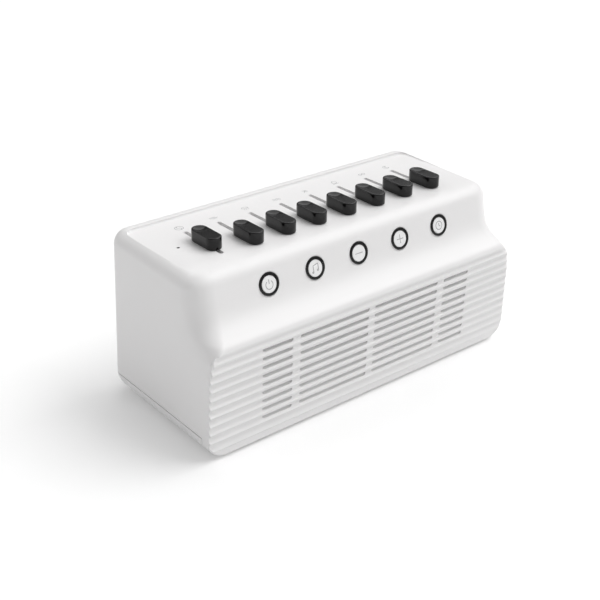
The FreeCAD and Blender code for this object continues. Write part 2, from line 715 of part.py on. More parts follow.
# Main board, its parts, screws and the inlet
half = main_board_length / 2
main_board = box(-half, half, main_board_y, main_board_y + main_board_depth, main_board_z,
                 main_board_z + board_thickness)
main_screws = []
for x, y in standoff_places:
    main_board = main_board.cut(rod(x, y, 0, 60, screw_diameter + 2 * fit_gap))
    part = screw(6, screw_diameter - 0.3, screw_head_diameter, screw_head_height)
    part.translate(Vector(x, y, main_board_z + board_thickness))
    main_screws.append(part)
export("main_board", main_board)
export("main_board_screws", group(main_screws))

board_top = main_board_z + board_thickness
chips = [box(x - a / 2, x + a / 2, main_board_y + y - b / 2, main_board_y + y + b / 2, board_top, board_top + c)
         for x, y, a, b, c in ((-8, 20, 12, 12, 1.4), (18, 22, 7, 6, 1.2), (-30, 18, 6, 5, 1.6),
                               (36, 14, 14, 5, 6), (-38, 34, 8, 5, 5))]
chips += [rod(x, main_board_y + y, board_top, board_top + 9, 8) for x, y in ((20, 36), (32, 36), (-22, 36))]
export("board_components", group(chips))

inlet_front = back - wall - 6
inlet = box(-inlet_width / 2, inlet_width / 2, inlet_front, inlet_front + inlet_length, inlet_z,
            inlet_z + inlet_height)
inlet = inlet.makeFillet(1.2, edges_at(inlet, lambda p: abs(abs(p.x) - inlet_width / 2) < 0.01
                                       and (abs(p.z - inlet_z) < 0.01 or abs(p.z - inlet_z - inlet_height) < 0.01)))
mouth = box(-inlet_width / 2 + 0.4, inlet_width / 2 - 0.4, inlet_front + 1.5, back, inlet_z + 0.4,
            inlet_z + inlet_height - 0.4)
tab = box(-3.3, 3.3, inlet_front + 1, back, inlet_z + inlet_height / 2 - 0.35, inlet_z + inlet_height / 2 + 0.35)
tab = tab.common(box(-5, 5, inlet_front, inlet_front + inlet_length - 0.8, 0, 60))
inlet = inlet.cut(mouth).fuse(tab)
export("usb_inlet", inlet)
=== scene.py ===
import json
import math

import bmesh
import bpy
import numpy as np
from mathutils import Matrix, Vector

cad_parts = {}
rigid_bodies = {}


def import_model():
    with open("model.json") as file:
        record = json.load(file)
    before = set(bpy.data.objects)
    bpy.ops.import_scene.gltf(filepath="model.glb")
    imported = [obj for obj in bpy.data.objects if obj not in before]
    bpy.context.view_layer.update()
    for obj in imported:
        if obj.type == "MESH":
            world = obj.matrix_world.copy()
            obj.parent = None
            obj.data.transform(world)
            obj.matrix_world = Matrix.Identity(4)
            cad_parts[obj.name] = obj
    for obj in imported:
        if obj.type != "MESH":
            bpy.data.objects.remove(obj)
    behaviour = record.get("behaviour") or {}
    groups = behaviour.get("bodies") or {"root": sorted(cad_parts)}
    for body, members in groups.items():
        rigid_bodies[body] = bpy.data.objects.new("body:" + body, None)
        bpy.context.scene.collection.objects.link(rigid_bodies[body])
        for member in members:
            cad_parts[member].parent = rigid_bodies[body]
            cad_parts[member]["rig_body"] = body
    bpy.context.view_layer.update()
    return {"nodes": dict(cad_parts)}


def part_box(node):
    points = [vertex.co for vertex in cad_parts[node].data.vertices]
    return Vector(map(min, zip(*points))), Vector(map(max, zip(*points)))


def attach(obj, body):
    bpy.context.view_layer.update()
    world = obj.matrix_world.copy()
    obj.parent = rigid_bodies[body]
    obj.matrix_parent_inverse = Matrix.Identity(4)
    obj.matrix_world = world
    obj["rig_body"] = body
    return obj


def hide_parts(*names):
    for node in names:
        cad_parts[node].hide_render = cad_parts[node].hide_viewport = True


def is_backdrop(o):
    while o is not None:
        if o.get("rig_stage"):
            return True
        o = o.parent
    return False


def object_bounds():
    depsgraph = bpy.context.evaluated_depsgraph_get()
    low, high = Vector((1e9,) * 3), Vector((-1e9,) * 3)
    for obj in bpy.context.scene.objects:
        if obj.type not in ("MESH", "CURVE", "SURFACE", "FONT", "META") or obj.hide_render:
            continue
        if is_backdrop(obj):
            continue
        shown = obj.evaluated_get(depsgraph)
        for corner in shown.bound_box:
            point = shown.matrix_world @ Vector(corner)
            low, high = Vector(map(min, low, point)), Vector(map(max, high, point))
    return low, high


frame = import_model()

nodes = frame["nodes"]
scene = bpy.context.scene

# Housing: one moulding in white ABS that carries the grille, the face and the sunk deck.
# Its skin has a fine spark-eroded satin. Four pillars inside take the screws from the base.


def linear(code):
    """An sRGB hex colour as linear RGBA, with the standard sRGB curve."""
    parts = [int(code[i:i + 2], 16) / 255 for i in (0, 2, 4)]
    return (*[c / 12.92 if c <= 0.04045 else ((c + 0.055) / 1.055) ** 2.4 for c in parts], 1.0)


def add(tree, kind, label="", **values):
    """Adds a node. A value is one of the node's settings, or an input that it sets or links. A key
    such as _6 is the number of an input."""
    node = tree.nodes.new(kind)
    node.label = label
    for key, value in values.items():
        if hasattr(node, key):
            setattr(node, key, value)
            continue
        socket = node.inputs[int(key[1:])] if key[0] == "_" else node.inputs[key.replace("_", " ")]
        if isinstance(value, bpy.types.NodeSocket):
            tree.links.new(value, socket)
        else:
            socket.default_value = value
    return node


def start_material(name, **sockets):
    """A new material, its node tree, its shader and its Object coordinates."""
    material = bpy.data.materials.new(name)
    material.use_nodes = True
    tree = material.node_tree
    shader = tree.nodes["Principled BSDF"]
    for key, value in sockets.items():
        shader.inputs[key.replace("_", " ")].default_value = value
    place = add(tree, "ShaderNodeTexCoord", "place on the part").outputs["Object"]
    return material, tree, shader, place


def moulded_plastic(name, shades, roughness, relief, ior=1.5):
    """Moulded plastic: a slow drift of colour and gloss, and a relief from the tool's surface."""
    material, tree, shader, place = start_material(name, IOR=ior)
    drift = add(tree, "ShaderNodeTexNoise", "drift over 40 mm", Vector=place, Scale=25.0, Detail=2.0)
    tone = add(tree, "ShaderNodeMix", "tone", data_type="RGBA", _0=drift.outputs["Fac"],
               _6=linear(shades[0]), _7=linear(shades[1]))
    gloss = add(tree, "ShaderNodeMapRange", "gloss drift", Value=drift.outputs["Fac"],
                To_Min=roughness - 0.03, To_Max=roughness + 0.03)
    spark = add(tree, "ShaderNodeTexNoise", "spark texture, 0.2 mm", Vector=place, Scale=5000.0,
                Detail=3.0)
    bump = add(tree, "ShaderNodeBump", "texture relief", Strength=relief, Distance=0.00002,
               Height=spark.outputs["Fac"])
    tree.links.new(tone.outputs[2], shader.inputs["Base Color"])
    tree.links.new(gloss.outputs["Result"], shader.inputs["Roughness"])
    tree.links.new(bump.outputs["Normal"], shader.inputs["Normal"])
    return material


def wear(piece, material):
    """Gives a piece its one material."""
    piece.data.materials.clear()
    piece.data.materials.append(material)


def new_piece(name, data, body, material):
    """A new piece that moves with a body."""
    piece = bpy.data.objects.new(name, data)
    scene.collection.objects.link(piece)
    wear(piece, material)
    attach(piece, body)
    return piece


def cut_mesh(data, tool_data):
    """The mesh data with the solid of tool_data taken out of it."""
    piece, tool = [bpy.data.objects.new(item.name, item) for item in (data, tool_data)]
    for item in (piece, tool):
        scene.collection.objects.link(item)
    cut = piece.modifiers.new("cut", "BOOLEAN")
    cut.object, cut.operation, cut.solver = tool, "DIFFERENCE", "EXACT"
    done = bpy.data.meshes.new_from_object(piece.evaluated_get(bpy.context.evaluated_depsgraph_get()))
    for item in (piece, tool):
        bpy.data.objects.remove(item)
    return done


def soften(mesh, crease):
    """Makes a mesh smooth, but leaves an edge sharp where its faces turn more than the crease."""
    for face in mesh.faces:
        face.smooth = True
    for edge in mesh.edges:
        edge.smooth = len(edge.link_faces) != 2 or edge.calc_face_angle(0) < math.radians(crease)


def merged_skin(node, material, tool=None):
    """A merged copy of a CAD node that stands for it, less the solid of a tool where one is given."""
    merge_distance, crease = 2e-6, 35
    mesh = bmesh.new()
    mesh.from_mesh(nodes[node].data)
    bmesh.ops.remove_doubles(mesh, verts=mesh.verts, dist=merge_distance)
    data = bpy.data.meshes.new(node + "_skin")
    mesh.to_mesh(data)
    if tool:
        data = cut_mesh(data, tool)
        mesh.clear()
        mesh.from_mesh(data)
    soften(mesh, crease)
    mesh.to_mesh(data)
    mesh.free()
    piece = new_piece(node + "_skin", data, nodes[node]["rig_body"], material)
    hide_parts(node)
    return piece


def flared_bars(spans, tops, layers):
    """Straight bars with round ends, one for each span and top. Along u the outline goes round two
    half circles; along v it runs through the layers, each of which has a depth and a bar height.
    The top stays level, so a bar that grows in height has a sloping underside. Flat ends close it."""
    turn = np.linspace(-math.pi / 2, math.pi / 2, 13)
    depth, height = np.array(layers).T
    half = height[:, None] / 2
    low, high = np.array(spans).T[:, :, None, None]
    right = high - half + half * np.cos(turn)
    left = low + half - half * np.cos(turn)
    x = np.concatenate([right, left], axis=-1)
    v = -half + half * np.concatenate([np.sin(turn), -np.sin(turn)])
    shape = (len(tops), len(spans), len(layers), x.shape[-1])
    parts = (x, v + np.array(tops)[:, None, None, None], depth[:, None])
    grid = np.stack([np.broadcast_to(part, shape) for part in parts], axis=-1).reshape(-1, 3)
    bar, ring = shape[2] * shape[3], np.arange(shape[3])
    near = np.arange(shape[0] * shape[1])[:, None] * bar + ring
    far = near + bar - shape[3]
    starts = (near[:, None] + np.arange(shape[2] - 1)[:, None] * shape[3]).reshape(-1, shape[3])
    after = np.roll(starts, -1, axis=1)
    sides = np.stack([starts, after, after + shape[3], starts + shape[3]], axis=-1).reshape(-1, 4)
    return grid, sides.tolist() + near[:, ::-1].tolist() + far.tolist()


white_abs = moulded_plastic("satin white ABS", ("F2F1F1", "F4F3F3"), 0.42, 0.25)
grille_lean, wall, cloth_thickness = math.radians(2.4), 0.0022, 0.0004
grille_up = np.array([0, -math.sin(grille_lean), math.cos(grille_lean)])
grille_out = np.array([0, -math.cos(grille_lean), -math.sin(grille_lean)])
cloth_middle = np.mean(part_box("grille_cloth"), axis=0)
grille_origin = cloth_middle * (0, 1, 1) + grille_out * (wall + cloth_thickness / 2)

# The sound slots are cut taller than the CAD's, with a lower wall that slopes outwards. Nine rows
# of four slots start just under the ledges.
slat_pitch, middle_ledge, middle_row, slot_rows = 0.00471, 0.0009, 5, 9
slot_gap = 0.00005
slot_spans = [(-0.0699, -0.0517), (-0.0471, -0.003), (0.001, 0.0451), (0.0497, 0.0679)]
slot_layers = [(-wall - 0.0001, 0.0017), (-0.0009, 0.0024), (0.002, 0.0026)]
slot_tops = middle_ledge - slot_gap + (middle_row - np.arange(1, slot_rows + 1)) * slat_pitch
grid, faces = flared_bars(slot_spans, slot_tops, slot_layers)
grid = grille_origin + grid @ np.array([[1, 0, 0], grille_up, grille_out])
slot_bars = bpy.data.meshes.new("slot_bars")
slot_bars.from_pydata(grid.tolist(), [], faces)
merged_skin("housing", white_abs, tool=slot_bars)

# Each slat also swells slowly over its upper half and falls away below. The relief repeats with
# the slats down the front, and fades out at the corners and above the top slat.
tree = white_abs.node_tree
place = add(tree, "ShaderNodeTexCoord", "place for the slats").outputs["Object"]
axes = add(tree, "ShaderNodeSeparateXYZ", "axes", Vector=place)
drop = add(tree, "ShaderNodeMath", "below the middle ledge", operation="SUBTRACT",
           _0=float(grille_origin[2]) + middle_ledge, _1=axes.outputs["Z"])
count = add(tree, "ShaderNodeMath", "slats down", operation="DIVIDE", _0=drop.outputs["Value"],
            _1=slat_pitch)
share = add(tree, "ShaderNodeMath", "share of a slat", operation="WRAP", _0=count.outputs["Value"],
            _1=1.0, _2=0.0)
rise = add(tree, "ShaderNodeMapRange", "upper half swells", interpolation_type="SMOOTHSTEP",
           Value=share.outputs["Value"], From_Min=0.35, From_Max=0.75)
fall = add(tree, "ShaderNodeMapRange", "lower half falls away", interpolation_type="SMOOTHSTEP",
           Value=share.outputs["Value"], From_Min=0.72, From_Max=1.0, To_Min=1.0, To_Max=0.5)
on_front = add(tree, "ShaderNodeMapRange", "on the front", interpolation_type="SMOOTHSTEP",
               Value=axes.outputs["Y"], From_Min=-0.0455, From_Max=-0.0442, To_Min=1.0, To_Max=0.0)
below_top = add(tree, "ShaderNodeMapRange", "below the top slat", interpolation_type="SMOOTHSTEP",
                Value=axes.outputs["Z"], From_Min=0.0565, From_Max=0.0575, To_Min=1.0, To_Max=0.0)
swell = rise
for factor in (fall, on_front, below_top):
    swell = add(tree, "ShaderNodeMath", "swell", operation="MULTIPLY", _0=swell.outputs[0],
                _1=factor.outputs[0])
slats = add(tree, "ShaderNodeBump", "slat swell, 0.5 mm", Strength=1.0, Distance=0.0005,
            Height=swell.outputs[0])
texture_relief = tree.nodes["Bump"]
tree.links.new(slats.outputs["Normal"], texture_relief.inputs["Normal"])

# Base cover: the lower shell in the same white ABS. Its lip sits inside the housing's seam,
# and four screws pull it up against the pillars.
merged_skin("base_cover", white_abs)

# Feet: four turned pads of grey silicone rubber, glued into round seats under the base.
# Rubber is dull, and a bloom of fine dust breaks up its sheen.


def finish(material, *names):
    """Gives CAD nodes their one material."""
    for name in names:
        nodes[name].data.materials.clear()
        nodes[name].data.materials.append(material)


silicone, tree, shader, place = start_material("grey silicone rubber", Roughness=0.7, IOR=1.42)
bloom = add(tree, "ShaderNodeTexNoise", "dust bloom, 1 mm", Vector=place, Scale=1000.0, Detail=4.0)
tone = add(tree, "ShaderNodeMix", "tone", data_type="RGBA", _0=bloom.outputs["Fac"],
           _6=linear("4A4A4A"), _7=linear("5C5C5B"))
bump = add(tree, "ShaderNodeBump", "skin", Strength=0.2, Distance=0.00003, Height=bloom.outputs["Fac"])
tree.links.new(tone.outputs[2], shader.inputs["Base Color"])
tree.links.new(bump.outputs["Normal"], shader.inputs["Normal"])
finish(silicone, "feet")

# Screws: pan-head steel screws with a bright zinc plate, turned and rolled. The plate shows
# faint turning marks round each head and a slight blue-grey cloud.
zinc_steel, tree, shader, place = start_material("zinc-plated steel", Metallic=1.0)
cloud = add(tree, "ShaderNodeTexNoise", "plating cloud, 2 mm", Vector=place, Scale=500.0, Detail=3.0)
tone = add(tree, "ShaderNodeMix", "tone", data_type="RGBA", _0=cloud.outputs["Fac"],
           _6=linear("B9BCC0"), _7=linear("D2D2CF"))
marks = add(tree, "ShaderNodeTexNoise", "turning marks, 0.1 mm", Vector=place, Scale=9000.0)
rough = add(tree, "ShaderNodeMapRange", "marks to roughness", Value=marks.outputs["Fac"], To_Min=0.22,
            To_Max=0.42)
tree.links.new(tone.outputs[2], shader.inputs["Base Color"])
tree.links.new(rough.outputs["Result"], shader.inputs["Roughness"])
finish(zinc_steel, "base_screws", "speaker_screws", "fader_board_screws", "button_board_screws",
       "main_board_screws")

# Grille cloth: a flat panel of light grey woven polyester behind the slots, glued round its edge.
# Two crossed sets of threads 1 mm apart give it a plain weave.
cloth, tree, shader, place = start_material("woven grey polyester", Roughness=0.9, Sheen_Weight=0.2)
threads = []
for axis in ("X", "Z"):
    wave = add(tree, "ShaderNodeTexWave", "threads along " + axis, wave_type="BANDS",
               bands_direction=axis, wave_profile="SIN", Vector=place, Scale=314.0)
    threads.append(wave.outputs["Fac"])
weave = add(tree, "ShaderNodeMath", "crossed threads", operation="MULTIPLY", _0=threads[0],
            _1=threads[1])
tone = add(tree, "ShaderNodeMix", "tone", data_type="RGBA", _0=weave.outputs["Value"],
           _6=linear("8E8D8D"), _7=linear("AAA9A9"))
bump = add(tree, "ShaderNodeBump", "weave relief", Strength=0.6, Distance=0.0001,
           Height=weave.outputs["Value"])
tree.links.new(tone.outputs[2], shader.inputs["Base Color"])
tree.links.new(bump.outputs["Normal"], shader.inputs["Normal"])
grille_cloth = merged_skin("grille_cloth", cloth)

# Loudspeakers: two 50 mm drivers, each a pressed steel basket under black lacquer, a pulp cone
# and a ferrite magnet. Each sits on a foam gasket and is held by four screws.
foam, tree, shader, place = start_material("closed-cell foam", Roughness=0.95)
cells = add(tree, "ShaderNodeTexVoronoi", "foam cells, 0.5 mm", Vector=place, Scale=2000.0)
tone = add(tree, "ShaderNodeMix", "tone", data_type="RGBA", _0=cells.outputs["Distance"],
           _6=linear("2C2C2D"), _7=linear("434344"))
bump = add(tree, "ShaderNodeBump", "open cells", Strength=0.5, Distance=0.0002,
           Height=cells.outputs["Distance"])
tree.links.new(tone.outputs[2], shader.inputs["Base Color"])
tree.links.new(bump.outputs["Normal"], shader.inputs["Normal"])
finish(foam, "speaker_gasket_left", "speaker_gasket_right")

lacquer, tree, shader, place = start_material("black lacquered steel", IOR=1.5)
peel = add(tree, "ShaderNodeTexNoise", "orange peel, 1.5 mm", Vector=place, Scale=650.0, Detail=2.0)
tone = add(tree, "ShaderNodeMix", "tone", data_type="RGBA", _0=peel.outputs["Fac"],
           _6=linear("232324"), _7=linear("2E2E30"))
rough = add(tree, "ShaderNodeMapRange", "peel to roughness", Value=peel.outputs["Fac"], To_Min=0.3,
            To_Max=0.45)
tree.links.new(tone.outputs[2], shader.inputs["Base Color"])
tree.links.new(rough.outputs["Result"], shader.inputs["Roughness"])
finish(lacquer, "speaker_frame_left", "speaker_frame_right")

pulp, tree, shader, place = start_material("pressed paper pulp", Roughness=0.85)
fibres = add(tree, "ShaderNodeTexNoise", "fibres, 0.4 mm", Vector=place, Scale=2500.0, Detail=6.0,
             Distortion=1.5)
tone = add(tree, "ShaderNodeMix", "tone", data_type="RGBA", _0=fibres.outputs["Fac"],
           _6=linear("1D1D1D"), _7=linear("3A3938"))
bump = add(tree, "ShaderNodeBump", "felted surface", Strength=0.4, Distance=0.0001,
           Height=fibres.outputs["Fac"])
tree.links.new(tone.outputs[2], shader.inputs["Base Color"])
tree.links.new(bump.outputs["Normal"], shader.inputs["Normal"])
finish(pulp, "speaker_cone_left", "speaker_cone_right")

ferrite, tree, shader, place = start_material("sintered ferrite", Roughness=0.55, IOR=1.9)
grains = add(tree, "ShaderNodeTexNoise", "ceramic grain, 0.3 mm", Vector=place, Scale=3300.0, Detail=5.0)
tone = add(tree, "ShaderNodeMix", "tone", data_type="RGBA", _0=grains.outputs["Fac"],
           _6=linear("38383A"), _7=linear("4B4B4D"))
tree.links.new(tone.outputs[2], shader.inputs["Base Color"])
finish(ferrite, "speaker_magnet_left", "speaker_magnet_right")

# Circuit boards: glass-fibre board with a green solder mask, printed with copper tracks 0.4 mm
# wide that show as paler green lines. Screws hold each to its bosses.
board, tree, shader, place = start_material("green solder mask", Roughness=0.3, IOR=1.55)
lanes = add(tree, "ShaderNodeTexBrick", "tracks", Vector=place, Scale=160.0, Mortar_Size=0.03,
            Color1=(0, 0, 0, 1), Color2=(0, 0, 0, 1), Mortar=(1, 1, 1, 1))
tone = add(tree, "ShaderNodeMix", "mask over copper", data_type="RGBA", _0=lanes.outputs["Color"],
           _6=linear("0F4A2A"), _7=linear("2C7A47"))
bump = add(tree, "ShaderNodeBump", "track height", Strength=0.3, Distance=0.00004,
           Height=lanes.outputs["Color"])
tree.links.new(tone.outputs[2], shader.inputs["Base Color"])
tree.links.new(bump.outputs["Normal"], shader.inputs["Normal"])
finish(board, "fader_board", "button_board", "main_board")

# Fader bodies: eight slide potentiometers in folded tinned steel cans, soldered to their board.
# A tinned can is a dull white metal with soft rolling lines.
tinplate, tree, shader, place = start_material("tinned steel sheet", Metallic=1.0)
stretch = add(tree, "ShaderNodeMapping", "rolled along Y", Vector=place, Scale=(3000.0, 60.0, 3000.0))
rolling = add(tree, "ShaderNodeTexNoise", "rolling lines", Vector=stretch.outputs["Vector"], Scale=1.0)
tone = add(tree, "ShaderNodeMix", "tone", data_type="RGBA", _0=rolling.outputs["Fac"],
           _6=linear("D6D6D7"), _7=linear("EAEAE8"))
rough = add(tree, "ShaderNodeMapRange", "lines to roughness", Value=rolling.outputs["Fac"], To_Min=0.5,
            To_Max=0.7)
tree.links.new(tone.outputs[2], shader.inputs["Base Color"])
tree.links.new(rough.outputs["Result"], shader.inputs["Roughness"])
finish(tinplate, "fader_bodies")

# Levers, switches and chips: small mouldings in black nylon and epoxy, satin from the tool.
nylon = moulded_plastic("satin black nylon", ("1C1B1C", "232223"), 0.4, 0.2)
finish(nylon, "switch_bodies", "board_components", *[f"switch_plunger_{i}" for i in range(1, 6)],
       *[f"fader_lever_{i}" for i in range(1, 9)])

# Fader knobs: eight pills in polished black ABS, pressed onto their levers. Each has a fine
# round on its top edge, a thumb dimple at its back end and a guide fin in the slot below.
knob_size, knob_height, knob_edge = (0.0082, 0.0196), 0.0062, 0.0005
dimple_radius, dimple_depth, dimple_setback = 0.0037, 0.0007, 0.0048
fin_size, fin_edge, fin_overlap = (0.0018, 0.0115), 0.0001, 0.0002


def pill_surface(width, length, rows, sink=None):
    """A closed pill round the Z axis. Along u the outline goes round two half circles and two
    straight sides. Along v each row gives how far the outline shrinks inwards and its height;
    at a shrink of half the width it closes on the line between the two circle centres."""
    round_points, side_points, level_gap = 33, 21, 1e-7
    half, run = width / 2, (length - width) / 2
    turn = np.linspace(0, math.pi, round_points)
    side = np.linspace(-run, run, side_points)[1:-1]
    ones = np.ones_like(side)
    normal_x = np.concatenate([np.cos(turn), -ones, -np.cos(turn), ones])
    normal_y = np.concatenate([np.sin(turn), 0 * ones, -np.sin(turn), 0 * ones])
    centre_y = np.concatenate([np.full(round_points, run), side[::-1], np.full(round_points, -run), side])
    shrink, height = np.array(rows).T
    reach = half - shrink[:, None]
    x = reach * normal_x
    y = centre_y + reach * normal_y
    z = np.broadcast_to(height[:, None], x.shape).copy()
    if sink:
        radius, depth, back_y = sink
        share = np.clip(1 - (x ** 2 + (y - back_y) ** 2) / radius ** 2, 0, 1)
        upper = z > height.max() - level_gap
        z -= np.where(upper, depth * share, 0)
    return np.stack([x, y, z], axis=-1)


def ring_mesh(name, grids, flat_ends=False):
    """One mesh of grids whose rows close round. Each quad joins a point and the next along its row
    with the two in the following row. The first and last rows may be closed by flat faces."""
    points, faces, count = [], [], 0
    for grid in grids:
        rows, columns = grid.shape[:2]
        index = count + np.arange(rows * columns).reshape(rows, columns)
        after = np.roll(index, -1, axis=1)
        quads = np.stack([index[:-1], after[:-1], after[1:], index[1:]], axis=-1)
        faces += quads.reshape(-1, 4).tolist()
        if flat_ends:
            faces += [index[0].tolist(), index[-1].tolist()]
        points.append(grid.reshape(-1, 3))
        count += rows * columns
    data = bpy.data.meshes.new(name)
    data.from_pydata(np.concatenate(points).tolist(), [], faces)
    return data


def closed_up(data, merge_distance=0.0, crease=None):
    """The mesh with all normals outwards. Where they are given, points nearer than the merge
    distance become one, and the mesh is smooth up to the crease."""
    mesh = bmesh.new()
    mesh.from_mesh(data)
    if merge_distance:
        bmesh.ops.remove_doubles(mesh, verts=mesh.verts, dist=merge_distance)
    bmesh.ops.recalc_face_normals(mesh, faces=mesh.faces)
    if crease:
        soften(mesh, crease)
    mesh.to_mesh(data)
    mesh.free()
    return data


def rounded(bottom, top, half, edge, steps=5, fill=14):
    """Rows from the middle of the underside, up the side, over the round edge to the middle."""
    turn = np.linspace(0, math.pi / 2, steps + 1)
    rows = [(half, bottom), (edge, bottom)]
    rows += [(edge * (1 - math.sin(t)), bottom + edge * (1 - math.cos(t))) for t in turn]
    rows += [(edge * (1 - math.cos(t)), top - edge * (1 - math.sin(t))) for t in turn]
    rows += [(edge + (half - edge) * (i + 1) / fill, top) for i in range(fill)]
    return rows


polished_abs, tree, shader, place = start_material("polished black ABS", IOR=1.42)
haze = add(tree, "ShaderNodeTexNoise", "handling haze, 5 mm", Vector=place, Scale=200.0, Detail=5.0)
tone = add(tree, "ShaderNodeMix", "tone", data_type="RGBA", _0=haze.outputs["Fac"],
           _6=linear("060506"), _7=linear("0B0A0B"))
rough = add(tree, "ShaderNodeMapRange", "haze to roughness", Value=haze.outputs["Fac"], To_Min=0.1,
            To_Max=0.18)
tree.links.new(tone.outputs[2], shader.inputs["Base Color"])
tree.links.new(rough.outputs["Result"], shader.inputs["Roughness"])
for index in range(1, 9):
    node = f"fader_knob_{index}"
    low, high = [np.array(corner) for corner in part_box(node)]
    middle = (low + high) / 2 * (1, 1, 0)
    fin_bottom, knob_top = low[2], high[2]
    knob_bottom = knob_top - knob_height
    knob_rows = rounded(knob_bottom, knob_top, knob_size[0] / 2, knob_edge)
    fin_rows = rounded(fin_bottom, knob_bottom + fin_overlap, fin_size[0] / 2, fin_edge, 2, 1)
    body = pill_surface(*knob_size, knob_rows, (dimple_radius, dimple_depth, dimple_setback))
    fin = pill_surface(*fin_size, fin_rows)
    data = closed_up(ring_mesh(f"knob_{index}", [body + middle, fin + middle]), merge_distance=1e-6,
                     crease=40)
    knob = new_piece(f"knob_{index}", data, nodes[node]["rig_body"], polished_abs)
    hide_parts(node)

# Symbols: small line signs, pad-printed in pale grey ink on the deck and on the caps. The ink
# is a film a few hundredths of a millimetre high, with a soft edge and a dull dry surface.
ink, tree, shader, place = start_material("pale grey pad-print ink", Roughness=0.6)
grain = add(tree, "ShaderNodeTexNoise", "ink density, 0.3 mm", Vector=place, Scale=3300.0, Detail=3.0)
tone = add(tree, "ShaderNodeMix", "tone", data_type="RGBA", _0=grain.outputs["Fac"],
           _6=linear("ABABAC"), _7=linear("B9B9BA"))
tree.links.new(tone.outputs[2], shader.inputs["Base Color"])


def arc(radius, start, end, x=0, y=0, squeeze=1):
    """Points round a circle or ellipse, from one angle to another in degrees."""
    longest_step, fewest_steps = 12, 2
    steps = max(int(abs(end - start) / longest_step), fewest_steps)
    turn = np.radians(np.linspace(start, end, steps + 1))
    return np.stack([x + radius * np.cos(turn), y + radius * squeeze * np.sin(turn)], axis=-1)


def ink_strokes(name, strokes, origin, across, up, body, width=0.00042, height=0.00003):
    """Thin flat bars along paths drawn in millimetres in a plane. Each path is shifted half a width
    to both sides along its own normal, and the bar reaches the film's height above and below."""
    axes = np.array([across, up, np.cross(across, up)], dtype=float)
    side = np.array([1, -1, -1, 1])[:, None] * width / 2
    rise = np.array([1, 1, -1, -1]) * height
    grids = []
    for path in strokes:
        path = np.array(path, dtype=float) * 0.001
        run = np.gradient(path, axis=0)
        run /= np.linalg.norm(run, axis=1)[:, None]
        normal = np.stack([-run[:, 1], run[:, 0]], axis=-1)
        flat = path[:, None, :] + normal[:, None, :] * side
        lift = np.broadcast_to(rise[:, None], flat.shape[:2] + (1,))
        grids.append(np.array(origin) + np.concatenate([flat, lift], axis=-1) @ axes)
    data = closed_up(ring_mesh(name, grids, flat_ends=True))
    return new_piece(name, data, body, ink)


def wave_line(middle):
    """A sine line, 0.4 mm high each way, with two waves in 4.6 mm."""
    x = np.linspace(-2.3, 2.3, 30)
    return np.stack([x, middle + 0.4 * np.sin(x * 2.7)], axis=-1)


deck_z, symbol_y, symbol_line = 0.09017, 0.0238, 0.0003
fan = [arc(2.2, 0, 360), arc(0.9, 90, 270, 0, 0.9), arc(0.9, -90, 90, 0, -0.9)]
wind = [[(-2.3, 0.9), (1.2, 0.9)], [(-2.3, 0), (2.3, 0)], [(-1.2, -0.9), (1.6, -0.9)]]
rain = [arc(1.1, 40, 200, -0.7, 0.8), arc(0.9, -60, 110, 0.9, 0.8), [(-1.8, 0.3), (1.6, 0.3)],
        [(-1.2, -0.4), (-1.5, -1.4)], [(0, -0.4), (-0.3, -1.4)], [(1.2, -0.4), (0.9, -1.4)]]
waves = [wave_line(-0.6), wave_line(0.6)]
leaf = [arc(1.9, 20, 110, -0.6, -1.0), arc(1.9, 200, 290, 0.9, 0.9), [(-1.6, -1.6), (0.8, 0.6)]]
fire = [arc(1.6, -150, 20, 0, 0), [(-1.4, -0.6), (-0.2, 1.9)], [(-0.2, 1.9), (1.5, 0.5)],
        [(-1.9, -2.1), (1.9, -2.1)]]
drops = [arc(0.9, 0, 360, -1.1, 0), arc(0.9, 0, 360, 1.2, 0)]
moon = [arc(1.8, 60, 300), arc(1.3, 75, 285, 0.8, 0)]
deck_symbols = {"fan": fan, "wind": wind, "rain": rain, "waves": waves, "leaf": leaf, "fire": fire,
                "drops": drops, "moon": moon}
symbol_places = (-0.0689, -0.048, -0.028, -0.0079, 0.0112, 0.0316, 0.052, 0.0704)
for x, (name, strokes) in zip(symbol_places, deck_symbols.items()):
    ink_strokes("deck_symbol_" + name, strokes, (x, symbol_y, deck_z), (1, 0, 0), (0, 1, 0), "machine",
                width=symbol_line)

# Indicator light pipe: a rod of smoky acrylic that carries a lamp's light up to the deck.
# The polished end is all that shows.
acrylic, tree, shader, place = start_material("smoky acrylic", IOR=1.49, Roughness=0.05,
                                              Transmission_Weight=0.6)
smoke = add(tree, "ShaderNodeTexNoise", "smoke, 1 mm", Vector=place, Scale=1000.0)
tone = add(tree, "ShaderNodeMix", "tone", data_type="RGBA", _0=smoke.outputs["Fac"],
           _6=linear("3C3D3F"), _7=linear("4A4B4D"))
tree.links.new(tone.outputs[2], shader.inputs["Base Color"])
finish(acrylic, "indicator_light_pipe")

# Button rings: five black ABS collars that line the button holes, each with a thin bright edge
# where it is rounded. They snap in from outside.
black_abs = moulded_plastic("satin black ABS", ("0A090A", "100F10"), 0.28, 0.1, ior=1.42)
button_tilt = math.radians(15)
button_out = np.array([0, -math.cos(button_tilt), math.sin(button_tilt)])
button_up = np.array([0, math.sin(button_tilt), math.cos(button_tilt)])
skirt_radius, collar_share = 0.00546, 0.5  # the collar keeps half of what stands past the skirt


def mesh_points(data):
    """The mesh's vertices as one array."""
    points = np.zeros(len(data.vertices) * 3)
    data.vertices.foreach_get("co", points)
    return points.reshape(-1, 3)


